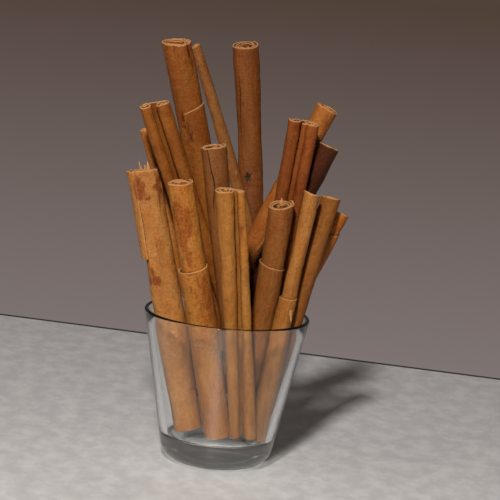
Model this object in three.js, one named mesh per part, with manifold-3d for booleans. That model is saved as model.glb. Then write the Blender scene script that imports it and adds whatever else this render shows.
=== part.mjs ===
// Cinnamon quills standing in a clear tapered tumbler. Millimetres, +Z up, +X to the right, -Y to the front.
// The origin is the centre of the tumbler's foot.
import * as THREE from 'three';
import { mergeVertices } from 'three/addons/utils/BufferGeometryUtils.js';
import Module from 'manifold-3d';

const wasm = await Module();
wasm.setup();

// ---- tumbler ----
const RIM_RADIUS = 40;
const TUMBLER_HEIGHT = 74;
const GLASS_OPACITY = 0.3;
const BASE_RADIUS = 25.8; // where the slanting side would meet the table
const HEEL_RADIUS = 10.5; // the large rounding between side and foot
const RIM_WALL = 1.9;
const FLOOR_HEIGHT = 13; // thickness of the heavy base
const FLOOR_RADIUS = 25.1;
const FLOOR_FILLET = 2;
const AROUND_TUMBLER = 60;
const HEEL_STEPS = 6;
const RIM_STEPS = 4;
const FILLET_STEPS = 3;

// ---- bark ----
const BARK = 0.9; // one layer of rolled bark
const LAP_STEP = 0.55; // how far the outer turn stands over the turn below it
const ROLL_SIDES = 22;
const SMALL_ROLL_SIDES = 14;
const SMALL_ROLL = 4.2; // rolls below this radius have fewer sides
const END_ROLL_STEPS = 11; // round the first or last roll of a row
const MIDDLE_ROLL_STEPS = 4;
const LEAST_GROOVE = 0.45; // least angle at which a roll bends into the fold beside it
const TURN_PITCH = 3; // from one turn of the roll to the next, at a cut end
const GAP_WIDTH = 0.7; // the dark gap between two turns
const GAP_DEPTH = 4; // how far the gap is cut in from a cut end
const GAP_STEPS = 10; // steps in one full turn of the gap
const HEART_RADIUS = 1.1; // where the gap stops, near the middle of a roll
const GAP_START = 0.5; // angle from the seam to the start of the gap
const LEAST_TURNS = 0.45;
const LEAST_GAP_STEPS = 5;
const RAGGED = 0.3; // unevenness of a cut end
const LIP_RUN = 0.25; // half the height of a wrapper's edge
const RING_SPACING = 46; // from one ring of points to the next along a quill
const CLEAR_OF_LIP = 0.3; // share of the spacing within which a wrapper's edge replaces a ring
const SEAM = -1.2; // angle of the outer turn's edge round a quill
const DEPTH_AXIS = new THREE.Vector3(0, 1, 0);

// Angles round a quill, seen from its head.
const FRONT = -Math.PI / 2;
const LEFT = Math.PI;
const BACK = Math.PI / 2;

// ---- repeatable unevenness ----
function makeRandom(seed) {
  let state = seed;
  return () => {
    state = (state * 16807) % 2147483647;
    return state / 2147483647;
  };
}

// ---- solids ----
function solidFrom(geometry) {
  const bare = geometry.clone();
  bare.deleteAttribute('normal');
  bare.deleteAttribute('uv');
  const merged = mergeVertices(bare, 1e-4);
  const mesh = new wasm.Mesh({
    numProp: 3,
    vertProperties: new Float32Array(merged.attributes.position.array),
    triVerts: new Uint32Array(merged.index.array),
  });
  return new wasm.Manifold(mesh);
}

function geometryFrom(solid) {
  const mesh = solid.getMesh();
  const geometry = new THREE.BufferGeometry();
  geometry.setAttribute('position', new THREE.BufferAttribute(mesh.vertProperties, 3));
  geometry.setIndex(new THREE.BufferAttribute(mesh.triVerts, 1));
  const flat = geometry.toNonIndexed();
  flat.computeVertexNormals();
  return flat;
}

// ---- sections of a quill, seen from its head: x to the right, y to the back ----
// One roll. The outer turn ends in a small step at the seam.
function singleSection(radius) {
  const sides = radius < SMALL_ROLL ? SMALL_ROLL_SIDES : ROLL_SIDES;
  const points = [];
  for (let i = 0; i <= sides; i++) {
    const share = i / sides;
    const angle = SEAM + share * 2 * Math.PI;
    const reach = radius - LAP_STEP * (1 - share);
    points.push(new THREE.Vector2(Math.cos(angle), Math.sin(angle)).multiplyScalar(reach));
  }
  return points;
}

// Angle, from the roll's own centre, of the point where its outline meets its neighbour's or comes nearest.
function grooveAngle(roll, other) {
  const apart = other.x - roll.x;
  const along = (apart * apart + roll.radius ** 2 - other.radius ** 2) / (2 * apart);
  const most = roll.radius * Math.cos(LEAST_GROOVE);
  return Math.acos(THREE.MathUtils.clamp(along, -most, most) / roll.radius);
}

// Rolls side by side, joined by the sheet of bark behind them.
// A fold groove runs down the front between each two.
function rowSection(rolls) {
  const points = [];
  rolls.forEach((roll, index) => {
    const before = rolls[index - 1];
    const after = rolls[index + 1];
    const from = before ? -grooveAngle(roll, before) : -1.5 * Math.PI;
    const to = after ? -grooveAngle(roll, after) : Math.PI / 2;
    const steps = before && after ? MIDDLE_ROLL_STEPS : END_ROLL_STEPS;
    for (let i = before ? 1 : 0; i <= steps; i++) {
      const angle = from + ((to - from) * i) / steps;
      const x = roll.x + roll.radius * Math.cos(angle);
      points.push(new THREE.Vector2(x, roll.radius * Math.sin(angle)));
    }
  });
  return points;
}

function sectionOf(rolls) {
  return rolls.length > 1 ? rowSection(rolls) : singleSection(rolls[0].radius);
}

// The dark gap between the turns of one roll: a narrow strip that spirals in towards the middle.
function gapSection(radius, centreX) {
  const outer = radius - BARK - GAP_WIDTH / 2;
  const heart = Math.min(HEART_RADIUS, outer);
  const turns = Math.max(LEAST_TURNS, (outer - heart) / TURN_PITCH);
  const steps = Math.max(LEAST_GAP_STEPS, Math.round(turns * GAP_STEPS));
  const outside = [];
  const inside = [];
  for (let i = 0; i <= steps; i++) {
    const share = i / steps;
    const angle = SEAM + GAP_START + share * turns * 2 * Math.PI;
    const middle = THREE.MathUtils.lerp(outer, heart, share);
    const half = (GAP_WIDTH / 2) * (1 + 0.5 * share);
    const ray = new THREE.Vector2(Math.cos(angle), Math.sin(angle));
    const centre = new THREE.Vector2(centreX, 0);
    outside.push(ray.clone().multiplyScalar(middle + half).add(centre));
    inside.push(ray.clone().multiplyScalar(middle - half).add(centre));
  }
  return outside.concat(inside.reverse());
}

// ---- the run of a quill ----
// Frame at a share of the way up: columns point to the right, to the back and along the quill.
function frameAt(axis, share) {
  const along = axis.getTangent(share);
  const across = new THREE.Vector3().crossVectors(DEPTH_AXIS, along).normalize();
  const away = new THREE.Vector3().crossVectors(along, across);
  return new THREE.Matrix4().makeBasis(across, away, along).setPosition(axis.getPoint(share));
}

// Heights of the rings of points: even spacing, with two close rings at each wrapper edge.
function ringsOf(length, wrappers, spacing) {
  const rings = [];
  const steps = Math.max(2, Math.round(length / spacing));
  for (let i = 0; i <= steps; i++) {
    const at = (length * i) / steps;
    const clear = wrappers.every((wrapper) => Math.abs(at - wrapper.at) > spacing * CLEAR_OF_LIP);
    if (clear || i === 0 || i === steps) rings.push({ at, side: 0 });
  }
  for (const wrapper of wrappers) {
    rings.push({ at: wrapper.at - LIP_RUN, side: -1, wrapper });
    rings.push({ at: wrapper.at + LIP_RUN, side: 1, wrapper });
  }
  return rings.sort((a, b) => a.at - b.at);
}

// How far the wrappers stand off at an angle, at one ring. Most cover what is below their edge.
function wrapperRise(wrappers, ring, angle) {
  let rise = 0;
  for (const wrapper of wrappers) {
    const covers = Math.cos(angle - wrapper.facing) > wrapper.reach;
    const below = ring.wrapper === wrapper ? ring.side < 0 : ring.at < wrapper.at;
    if (covers && below !== Boolean(wrapper.above)) rise += wrapper.rise;
  }
  return rise;
}

// Thickness at a share of the way up, as a factor on the section.
function sizeAt(spec, share) {
  const foot = spec.footSize ?? 1;
  const head = spec.headSize ?? 1;
  let size = foot + (head - foot) * share ** (spec.sizePower ?? 1);
  for (const swell of spec.swells ?? []) {
    size += swell.rise * Math.exp(-(((share - swell.share) / swell.spread) ** 2));
  }
  return size;
}

// Name of a section point, the same before and after three.js stores it.
function keyOf(point) {
  return `${Math.fround(point.x).toFixed(3)} ${Math.fround(point.y).toFixed(3)}`;
}

// One section turned into another along the axis, with taper, wrapper edges and slanting, uneven cut ends.
function sweep(footPoints, headPoints, axis, spec, random) {
  const length = axis.getLength();
  const wrappers = (spec.wrappers ?? []).map((each) => ({ ...each, at: length - each.below }));
  const rings = ringsOf(length, wrappers, spec.spacing ?? RING_SPACING);
  const last = rings.length - 1;
  const shape = new THREE.Shape(headPoints);
  const footOf = new Map(headPoints.map((point, index) => [keyOf(point), footPoints[index]]));
  const geometry = new THREE.ExtrudeGeometry(shape, { depth: 1, steps: last, bevelEnabled: false });
  const position = geometry.attributes.position;
  const ragged = new Map();
  const vertex = new THREE.Vector3();
  for (let i = 0; i < position.count; i++) {
    vertex.fromBufferAttribute(position, i);
    const index = Math.round(vertex.z * last);
    const ring = rings[index];
    const climb = ring.at / length;
    const foot = footOf.get(keyOf(vertex));
    const across = THREE.MathUtils.lerp(foot.x, vertex.x, climb);
    const away = THREE.MathUtils.lerp(foot.y, vertex.y, climb);
    const angle = Math.atan2(away, across);
    const rise = wrapperRise(wrappers, ring, angle) / Math.hypot(across, away);
    const size = sizeAt(spec, climb) * (1 + rise);
    const x = across * size * (spec.oval ?? 1) + (spec.shift ?? 0);
    const y = away * size;
    let at = ring.at;
    if (ring.wrapper) at += ring.wrapper.slant * Math.cos(angle);
    if (index === 0 || index === last) {
      const cut = (index === 0 ? spec.footCut : spec.headCut) ?? { x: 0, y: 0 };
      const key = `${index} ${keyOf(vertex)}`;
      if (!ragged.has(key)) ragged.set(key, (2 * random() - 1) * RAGGED);
      at += ragged.get(key) + x * cut.x + y * cut.y;
    }
    const share = THREE.MathUtils.clamp(at / length, 0, 1);
    vertex.set(x, y, at - share * length).applyMatrix4(frameAt(axis, share));
    position.setXYZ(i, vertex.x, vertex.y, vertex.z);
  }
  return solidFrom(geometry);
}

// The gap between the turns, as a short straight cutter standing in one cut end.
function gapCutter(roll, axis, share, spec) {
  const shape = new THREE.Shape(gapSection(roll.radius, roll.x));
  const depth = GAP_DEPTH * 2;
  const geometry = new THREE.ExtrudeGeometry(shape, { depth, steps: 1, bevelEnabled: false });
  geometry.scale(spec.oval ?? 1, 1, 1);
  geometry.translate(spec.shift ?? 0, 0, -GAP_DEPTH);
  geometry.applyMatrix4(frameAt(axis, share));
  return solidFrom(geometry);
}

// ---- small features; x points outwards from the quill, z up it ----
// A pointed sliver of bark, leaning outwards by `lift`.
function sliver(thickness, width, height, lift) {
  const shape = new THREE.Shape([
    new THREE.Vector2(-width / 2, 0),
    new THREE.Vector2(width / 2, 0),
    new THREE.Vector2(width * 0.2, height),
    new THREE.Vector2(-width * 0.15, height * 0.9),
  ]);
  const geometry = new THREE.ExtrudeGeometry(shape, { depth: thickness, steps: 1, bevelEnabled: false });
  return geometry.rotateX(Math.PI / 2).rotateZ(Math.PI / 2).rotateY(lift);
}

// A knot hole: a shallow pit with a pointed bottom.
function pit(radius, depth) {
  return new THREE.ConeGeometry(radius, depth * 2, 7).rotateZ(Math.PI / 2);
}

// A break or split in the bark, with straight sides.
function slot(depth, width, height) {
  return new THREE.BoxGeometry(depth * 2, width, height);
}

// A feature set on a quill: `at` mm from the foot, or from the head when negative.
function placeOn(feature, axis) {
  const length = axis.getLength();
  const at = feature.at < 0 ? length + feature.at : feature.at;
  const geometry = feature.shape.clone();
  geometry.translate(feature.out, 0, 0);
  geometry.rotateZ(feature.angle);
  geometry.applyMatrix4(frameAt(axis, at / length));
  return solidFrom(geometry);
}

function makeQuill(spec) {
  const foot = new THREE.Vector3(...spec.foot);
  const head = new THREE.Vector3(...spec.head);
  const bend = new THREE.Vector3(...spec.bow).add(foot.clone().lerp(head, 0.5));
  const axis = new THREE.QuadraticBezierCurve3(foot, bend, head);
  const headRolls = spec.rolls ?? [{ x: 0, radius: spec.radius }];
  const footRolls = spec.footRolls ?? headRolls;
  const [footPoints, headPoints] = [footRolls, headRolls].map(sectionOf);
  let solid = sweep(footPoints, headPoints, axis, spec, makeRandom(spec.seed));
  for (const [share, rolls] of [footRolls, headRolls].entries()) {
    const size = sizeAt(spec, share);
    for (const roll of rolls) {
      const cutter = gapCutter({ x: roll.x * size, radius: roll.radius * size }, axis, share, spec);
      solid = solid.subtract(cutter);
    }
  }
  for (const feature of spec.features ?? []) {
    const piece = placeOn(feature, axis);
    solid = feature.cut ? solid.subtract(piece) : solid.add(piece);
  }
  return geometryFrom(solid);
}

// ---- the quills ----
// foot and head are the ends of the axis; bow is how far its middle control point stands off the straight
// line. rolls are those of the head, which turn into footRolls. headCut is the slope of the cut end, to the
// right and to the back. oval widens a roll from left to right, and shift moves it to the right.
// A wrapper is an outer sheet of bark whose edge lies `below` mm under the head and slants by `slant`. It
// stands off by `rise` on the side that it is `facing`, under its edge or, where it says so, above it.
const QUILLS = [
  {
    name: 'quill_left_broad',
    seed: 11,
    colour: 0xb27b44,
    foot: [-13, -6.8, 17.3],
    head: [-44, -13.1, 142.9],
    bow: [-0.1, -0.1, 0],
    radius: 6.5,
    oval: 1.15,
    shift: -1.1,
    swells: [{ rise: 0.1, share: 0.4, spread: 0.22 }],
    headCut: { x: -0.12, y: -0.08 },
    wrappers: [{ below: 43.5, above: true, rise: 0.9, slant: 0, facing: LEFT + 0.1, reach: 0.7 }],
    features: [
      { cut: true, at: -43.5, angle: LEFT + 0.1, out: 9.4, shape: slot(2.4, 3.4, 1.6) },
      { at: -3, angle: 2.45, out: 3.6, shape: sliver(0.8, 2.6, 7.2, 0.05) },
      { at: -3, angle: 1.35, out: 3.2, shape: sliver(0.8, 2.4, 6.4, -0.04) },
    ],
  },
  {
    name: 'quill_left_wrapped',
    seed: 12,
    colour: 0xa8683a,
    foot: [0.9, -9.7, 15.9],
    head: [-27.5, -34.2, 141.4],
    bow: [0.6, 0, 0.1],
    radius: 6.6,
    footSize: 0.94,
    headCut: { x: -0.09, y: -0.07 },
    wrappers: [{ below: 44, rise: 0.75, slant: 0.5, facing: FRONT, reach: -2 }],
  },
  {
    name: 'quill_front_twin',
    seed: 13,
    colour: 0xb5803f,
    foot: [10.75, -15.5, 16.7],
    head: [-3.55, -44.85, 141.3],
    bow: [1.2, -0.9, -0.1],
    rolls: [
      { x: -2.2, radius: 4.8 },
      { x: 5.2, radius: 2.1 },
    ],
    footRolls: [
      { x: -2.2, radius: 2.6 },
      { x: 5, radius: 3.2 },
    ],
    headCut: { x: -0.07, y: -0.04 },
  },
  {
    name: 'quill_right_front',
    seed: 14,
    colour: 0xb6804a,
    foot: [18.8, -7.7, 15.1],
    head: [35.3, -20.7, 139.3],
    bow: [0.5, -0.3, -0.1],
    radius: 4.5,
    footSize: 0.93,
    headCut: { x: -0.13, y: -0.2 },
    wrappers: [{ below: 53, rise: 0.3, slant: 0.5, facing: FRONT, reach: -2 }],
    spacing: 30,
    swells: [{ rise: -0.14, share: 0.72, spread: 0.2 }],
    features: [{ at: -60, angle: FRONT + 0.7, out: 3.6, shape: sliver(0.7, 2.4, 7, Math.PI - 0.3) }],
  },
  {
    name: 'quill_right_wrapped',
    seed: 15,
    colour: 0xb07844,
    foot: [10, -0.5, 17.9],
    head: [21.2, -17.9, 132.3],
    bow: [3.5, 1.1, -0.4],
    radius: 6.5,
    footSize: 0.84,
    swells: [{ rise: -0.06, share: 0.55, spread: 0.25 }],
    headCut: { x: 0.18, y: 0.09 },
    wrappers: [{ below: 31, rise: 0.4, slant: -1.2, facing: FRONT, reach: -2 }],
    features: [
      { at: -3, angle: BACK, out: 0.4, shape: sliver(0.8, 2.2, 5.6, 0.1) },
      { at: -20, angle: LEFT - 0.2, out: 5.2, shape: sliver(0.8, 2.8, 7.5, Math.PI - 0.42) },
    ],
  },
  {
    name: 'quill_grey_cracked',
    seed: 16,
    colour: 0xa0714a,
    foot: [6.9, -14.4, 50.3],
    head: [-13.2, -35.2, 160],
    bow: [-0.4, -0.4, -0.2],
    radius: 6.5,
    footSize: 0.9,
    headCut: { x: -0.04, y: -0.09 },
    features: [{ cut: true, at: -11, angle: FRONT - 0.45, out: 6.8, shape: slot(1.6, 0.7, 24) }],
  },
  {
    name: 'quill_right_middle',
    seed: 17,
    colour: 0xad7541,
    foot: [19.95, 2, 15],
    head: [44.6, -9.2, 136.4],
    bow: [0.1, -0.4, -0.2],
    radius: 5.1,
    footSize: 0.94,
    headCut: { x: 0, y: -0.18 },
  },
  {
    name: 'quill_left_twin',
    seed: 18,
    colour: 0xa96a2e,
    foot: [3.1, -6.35, 57.8],
    head: [-42.3, -29.85, 176.4],
    bow: [0.5, 0, 0.2],
    rolls: [
      { x: -4.3, radius: 3.1 },
      { x: 3.5, radius: 3.8 },
    ],
    footSize: 0.9,
    headCut: { x: -0.1, y: 0.02 },
  },
  {
    name: 'quill_triple',
    seed: 19,
    colour: 0xa86a38,
    foot: [15, 9.9, 15.9],
    head: [28.8, -12.7, 171.9],
    bow: [-0.5, -0.2, 0],
    rolls: [
      { x: -3.9, radius: 3.7 },
      { x: 0.4, radius: 3.2 },
      { x: 3.9, radius: 3.6 },
    ],
    footSize: 0.76,
    headCut: { x: 0, y: -0.07 },
  },
  {
    name: 'quill_tall_left',
    seed: 20,
    colour: 0xa66626,
    foot: [3.7, 7, 34.4],
    head: [-35.1, -18, 205.3],
    bow: [4.4, 0.2, 1.1],
    radius: 7.1,
    footSize: 0.88,
    headSize: 1.05,
    headCut: { x: -0.2, y: 0.01 },
    wrappers: [{ below: 33.5, rise: 0.5, slant: 1.6, facing: -0.5, reach: 0.17 }],
  },
  {
    name: 'quill_tall_thin',
    seed: 21,
    colour: 0xb07a38,
    foot: [24.6, 19.3, 61.3],
    head: [-26.8, 22.7, 199.4],
    bow: [2.2, 0.2, 0.5],
    radius: 3.6,
    headSize: 0.72,
    sizePower: 4,
    spacing: 30,
    headCut: { x: 0.25, y: 0.08 },
  },
  {
    name: 'quill_diagonal',
    seed: 22,
    colour: 0xb4742f,
    foot: [-18.3, 16.6, 37.8],
    head: [39.6, 5.5, 177.3],
    bow: [-1.1, 0.1, 0.5],
    radius: 5.9,
    footSize: 0.88,
    headCut: { x: -0.05, y: -0.03 },
  },
  {
    name: 'quill_right_short',
    seed: 23,
    colour: 0xb5752c,
    foot: [17.9, 13.15, 47.3],
    head: [50, 2.8, 127],
    bow: [0, -0.6, -0.1],
    radius: 4.9,
    footSize: 0.84,
    headCut: { x: 0.05, y: -0.25 },
    wrappers: [{ below: 11, rise: 0.45, slant: 0.8, facing: 0, reach: 0 }],
  },
  {
    name: 'quill_dark_back',
    seed: 24,
    colour: 0x7c4726,
    foot: [-9.2, 20.7, 26.2],
    head: [41.7, -1.3, 159.8],
    bow: [0, -0.2, 0],
    radius: 5.6,
    footSize: 0.88,
    headCut: { x: 0, y: -0.28 },
  },
  {
    name: 'quill_behind_twin',
    seed: 25,
    colour: 0xa46a33,
    foot: [-8, 7.15, 43.4],
    head: [-46.3, -0.25, 160.2],
    bow: [0.8, 0, 0.3],
    radius: 3.6,
    headCut: { x: 0, y: -0.08 },
  },
  {
    name: 'quill_tall_middle',
    seed: 26,
    colour: 0xa0622e,
    foot: [11.6, 17.8, 26.1],
    head: [-2.9, 44.7, 199.8],
    bow: [5.9, 3.1, 0],
    radius: 7,
    footSize: 0.86,
    spacing: 24,
    headCut: { x: -0.05, y: 0.33 },
    swells: [
      { rise: -0.06, share: 0.76, spread: 0.09 },
      { rise: 0.07, share: 0.45, spread: 0.12 },
    ],
    features: [{ cut: true, at: -67, angle: FRONT - 0.35, out: 7.6, shape: pit(1.6, 1.7) }],
  },
];

// ---- the tumbler's profile: radius and height, from the middle of the foot up the outside, then down ----
function arc(centre, radius, from, to, steps) {
  const points = [];
  for (let i = 0; i <= steps; i++) {
    const angle = from + ((to - from) * i) / steps;
    const ray = new THREE.Vector2(Math.cos(angle), Math.sin(angle));
    points.push(ray.multiplyScalar(radius).add(centre));
  }
  return points;
}

function tumblerProfile() {
  const side = new THREE.Vector2(RIM_RADIUS - BASE_RADIUS, TUMBLER_HEIGHT).normalize();
  const slant = Math.atan2(-side.x, side.y);
  const heelX = BASE_RADIUS - HEEL_RADIUS / Math.cos(slant) + HEEL_RADIUS * (side.x / side.y);
  const heel = new THREE.Vector2(heelX, HEEL_RADIUS);
  const round = RIM_WALL / 2;
  const rim = new THREE.Vector2(RIM_RADIUS - round, TUMBLER_HEIGHT - round);
  const corner = new THREE.Vector2(FLOOR_RADIUS - FLOOR_FILLET, FLOOR_HEIGHT + FLOOR_FILLET);
  const outside = arc(heel, HEEL_RADIUS, -Math.PI / 2, slant, HEEL_STEPS);
  const lip = arc(rim, round, slant, Math.PI + slant, RIM_STEPS);
  const inside = arc(corner, FLOOR_FILLET, slant, -Math.PI / 2, FILLET_STEPS);
  const start = new THREE.Vector2(0, 0);
  const end = new THREE.Vector2(0, FLOOR_HEIGHT);
  return [start, ...outside, ...lip, ...inside, end];
}

// ---- assembly ----
const group = new THREE.Group();

const tumblerGeometry = new THREE.LatheGeometry(tumblerProfile(), AROUND_TUMBLER).rotateX(Math.PI / 2);
const glass = new THREE.MeshStandardMaterial({ color: 0xdfe6e4, roughness: 0.05, metalness: 0 });
glass.transparent = true;
glass.opacity = GLASS_OPACITY;
const tumbler = new THREE.Mesh(tumblerGeometry, glass);
tumbler.name = 'tumbler';
group.add(tumbler);

for (const spec of QUILLS) {
  const bark = new THREE.MeshStandardMaterial({ color: spec.colour, roughness: 0.75, metalness: 0 });
  const quill = new THREE.Mesh(makeQuill(spec), bark);
  quill.name = spec.name;
  group.add(quill);
}

export default group;
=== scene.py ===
"""Cinnamon quills standing in a clear tapered tumbler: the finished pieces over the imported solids."""

import logging
import math
from dataclasses import dataclass
from enum import Enum

import bpy
import numpy as np
from mathutils import Matrix, Vector
from numpy.typing import NDArray


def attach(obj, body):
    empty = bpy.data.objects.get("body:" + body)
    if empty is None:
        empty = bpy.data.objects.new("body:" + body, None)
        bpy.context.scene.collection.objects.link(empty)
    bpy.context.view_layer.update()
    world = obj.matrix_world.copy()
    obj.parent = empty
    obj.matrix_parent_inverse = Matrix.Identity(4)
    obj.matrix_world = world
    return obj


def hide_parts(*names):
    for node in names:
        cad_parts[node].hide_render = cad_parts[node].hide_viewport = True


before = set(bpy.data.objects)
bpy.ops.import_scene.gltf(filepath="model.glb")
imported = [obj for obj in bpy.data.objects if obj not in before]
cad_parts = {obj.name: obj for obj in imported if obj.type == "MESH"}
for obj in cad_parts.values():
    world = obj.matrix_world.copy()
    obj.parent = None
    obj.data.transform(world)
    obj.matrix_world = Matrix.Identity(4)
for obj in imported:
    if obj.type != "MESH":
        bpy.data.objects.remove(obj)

Array = NDArray[np.float64]
Colour = tuple[float, float, float]
Place = tuple[float, float, float]
Material = bpy.types.Material

MM = 0.001
TURN = 2 * math.pi
FRONT, BACK = -math.pi / 2, math.pi / 2
LEFT, RIGHT = math.pi, 0.0

log = logging.getLogger("tumbler_of_quills")


# ---------------------------------------------------------------- sums used throughout


def eased(share: Array) -> Array:
    """A share with a smooth start and end: three of its squares less two of its cubes."""
    return share * share * (3 - 2 * share)


def blend(first: Array, second: Array, share: Array) -> Array:
    """The first where the share is 0, the second where it is 1, and a straight run between them."""
    return first * (1 - share) + second * share


def bell(far: Array) -> Array:
    """A bell curve: 1 in the middle, falling with the square of the distance."""
    return np.exp(-(far**2))


def unit(run: Array) -> Array:
    """Directions of length 1: each one over its own length."""
    return run / np.linalg.norm(run, axis=-1, keepdims=True)


def ruler_of(line: Array) -> Array:
    """Length run at each point of a line: the sum of the steps before it."""
    return np.concatenate([[0], np.cumsum(np.linalg.norm(np.diff(line, axis=0), axis=1))])


def ring(x: float, y: float, radius: Array | float, angle: Array) -> Array:
    """Points round a centre: the radius times the cosine and the sine of the angle, plus the centre."""
    return np.stack([x + radius * np.cos(angle), y + radius * np.sin(angle)], -1)


def folded(outer: Array, far: Array | float, inner: Array, near: Array | float) -> Array:
    """Values round a folded row: the outer face, its far edge, the inner face backwards, its near edge."""
    edge = np.zeros_like(outer[..., :1])
    return np.concatenate([outer, edge + far, inner[..., ::-1], edge + near], -1)


class Ripple:
    """Smooth unevenness over two lengths, the same at each run."""

    CELLS = 64

    def __init__(self, seed: int) -> None:
        """Fills the table of heights from a seed."""
        self.table = np.random.default_rng(seed).uniform(-1, 1, (self.CELLS, self.CELLS))

    def at(self, a: Array | float, b: Array | float) -> Array:
        """Heights from -1 to 1: the four nearest table values, blended by a smooth step in both directions.

        Args:
            a: First coordinate, in cells.
            b: Second coordinate, in cells.

        Returns:
            The heights.
        """
        a, b = np.broadcast_arrays(np.asarray(a, float), np.asarray(b, float))
        low_a, low_b = np.floor(a), np.floor(b)
        part_a, part_b = eased(a - low_a), eased(b - low_b)
        i, j = low_a.astype(int) % self.CELLS, low_b.astype(int) % self.CELLS
        after_i, after_j = (i + 1) % self.CELLS, (j + 1) % self.CELLS
        near = blend(self.table[i, j], self.table[i, after_j], part_b)
        far = blend(self.table[after_i, j], self.table[after_i, after_j], part_b)
        return blend(near, far, part_a)


@dataclass(frozen=True)
class Axis:
    """A quill's middle line: a parabola whose control point stands off the straight line by bow."""

    foot: Place
    head: Place
    bow: Place

    STEPS = 257

    @property
    def length(self) -> float:
        """Length of the middle line, in millimetres."""
        return float(self._ruler()[-1])

    def _at(self, share: Array) -> tuple[Array, Array]:
        """The parabola's points and directions.

        Args:
            share: Shares of its own parameter.

        Returns:
            The points and the directions.
        """
        foot, head = np.array(self.foot), np.array(self.head)
        bend = (foot + head) / 2 + np.array(self.bow)
        point = (1 - share) ** 2 * foot + 2 * share * (1 - share) * bend + share**2 * head
        return point, unit(blend(bend - foot, head - bend, share))

    def _ruler(self) -> Array:
        """Length run at even steps of the parabola's own parameter."""
        return ruler_of(self._at(np.linspace(0, 1, self.STEPS)[:, None])[0])

    def carry(self, across: Array, away: Array, along: Array) -> Array:
        """Carries section points to their place: the line's point, plus across to the right and away back.

        To the right is level and square to the line, and past both ends the line runs on straight.

        Args:
            across: Distance to the right.
            away: Distance to the back.
            along: Length run from the foot.

        Returns:
            Points, with the three coordinates last.
        """
        ruler = self._ruler()
        kept = np.clip(along, 0, ruler[-1])
        point, run = self._at(np.interp(kept, ruler, np.linspace(0, 1, ruler.size))[..., None])
        right = unit(np.cross(np.array([0.0, 1.0, 0.0]), run))
        point = point + run * (along - kept)[..., None]
        return point + right * across[..., None] + np.cross(run, right) * away[..., None]


# ---------------------------------------------------------------- meshes


@dataclass
class Shell:
    """A closed surface with what its finish reads at each point."""

    points: Array
    faces: list[Array]
    grain: Array
    cut: Array | float = 0.0
    stain: Array | float = 0.0
    shade: Array | float = 0.0

    def __post_init__(self) -> None:
        """Lays everything out in one run of points."""
        self.points, self.grain = self.points.reshape(-1, 3), self.grain.reshape(-1, 3)
        blank = np.zeros(len(self.points))
        cut, stain, shade = (blank + np.ravel(each) for each in (self.cut, self.stain, self.shade))
        self.cut, self.stain, self.shade = cut, stain, shade

    def turned_out(self) -> "Shell":
        """The same shell with its faces pointing out, which the sign of its volume tells.

        Returns:
            The shell.
        """
        volume = 0.0
        for corner in (self.points[faces] for faces in self.faces):
            for k in range(1, corner.shape[1] - 1):
                volume += np.einsum("ij,ij->", corner[:, 0], np.cross(corner[:, k], corner[:, k + 1]))
        if volume < 0:
            self.faces = [faces[:, ::-1] for faces in self.faces]
        return self


def loop_faces(rows: int, loop: int) -> Array:
    """Four-sided faces of a grid that closes on itself across: each point, its neighbour and the two above.

    Args:
        rows: Rows of points.
        loop: Points in a row.

    Returns:
        One line of four indices per face.
    """
    row, step = np.meshgrid(np.arange(rows - 1) * loop, np.arange(loop), indexing="ij")
    after = (step + 1) % loop
    return np.stack([row + step, row + after, row + loop + after, row + loop + step], -1).reshape(-1, 4)


def sheet_caps(first: int, columns: int, upward: bool) -> list[Array]:
    """Faces that close the end of a folded-over row: outer points, edge, inner points backwards, edge.

    Args:
        first: Index of the row's first point.
        columns: Points on each side of the sheet.
        upward: Whether the cap faces up the sheet.

    Returns:
        The four-sided faces and the three-sided ones at the two edges.
    """
    outer = first + np.arange(columns)
    inner = first + 2 * columns - np.arange(columns)
    quads = np.stack([outer[:-1], outer[1:], inner[1:], inner[:-1]], -1)
    far, near = first + columns, first + 2 * columns + 1
    ends = np.array([[outer[-1], far, inner[-1]], [outer[0], inner[0], near]])
    return [quads, ends] if upward else [quads[:, ::-1], ends[:, ::-1]]


@dataclass(frozen=True)
class MeshPiece:
    """A finished object that rides with the part: its name, the solid it stands for and its material slot."""

    name: str
    node: str
    slot: str

    LAYERS = ("grain", "cut", "stain", "shade")

    def make(self, shells: list[Shell], finish: Material, tone: Colour = (1.0, 1.0, 1.0)) -> None:
        """Joins the shells, writes them into a mesh and hangs it under the part's root body.

        Args:
            shells: The closed surfaces.
            finish: The material.
            tone: A factor on the finish's colour.
        """
        shells = [shell.turned_out() for shell in shells]
        starts = np.cumsum([0] + [len(shell.points) for shell in shells])
        points = np.concatenate([shell.points for shell in shells]) * MM
        faces = [f + start for shell, start in zip(shells, starts) for f in shell.faces]
        corners = np.concatenate([f.reshape(-1) for f in faces])
        sizes = np.concatenate([np.full(len(f), f.shape[1]) for f in faces])
        mesh = bpy.data.meshes.new(self.name)
        mesh.vertices.add(len(points))
        mesh.vertices.foreach_set("co", points.astype(np.float32).reshape(-1))
        mesh.loops.add(len(corners))
        mesh.loops.foreach_set("vertex_index", corners.astype(np.int32))
        mesh.polygons.add(len(sizes))
        mesh.polygons.foreach_set("loop_start", (np.cumsum(sizes) - sizes).astype(np.int32))
        mesh.update(calc_edges=True)
        mesh.validate()
        values = {name: np.concatenate([getattr(shell, name) for shell in shells]) for name in self.LAYERS}
        values["tone"] = np.tile(np.array(tone), (len(points), 1))
        for label, value in values.items():
            kind, field = ("FLOAT_VECTOR", "vector") if value.ndim > 1 else ("FLOAT", "value")
            layer = mesh.attributes.new(label, kind, "POINT")
            layer.data.foreach_set(field, value.astype(np.float32).reshape(-1))
        mesh.polygons.foreach_set("use_smooth", np.ones(len(sizes), bool))
        mesh.materials.append(finish)
        made = bpy.data.objects.new(self.name, mesh)
        bpy.context.scene.collection.objects.link(made)
        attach(made, "root")
        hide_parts(self.node)
        log.info("%s: %d points, %d faces", self.name, len(points), len(sizes))


# ---------------------------------------------------------------- bark


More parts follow.
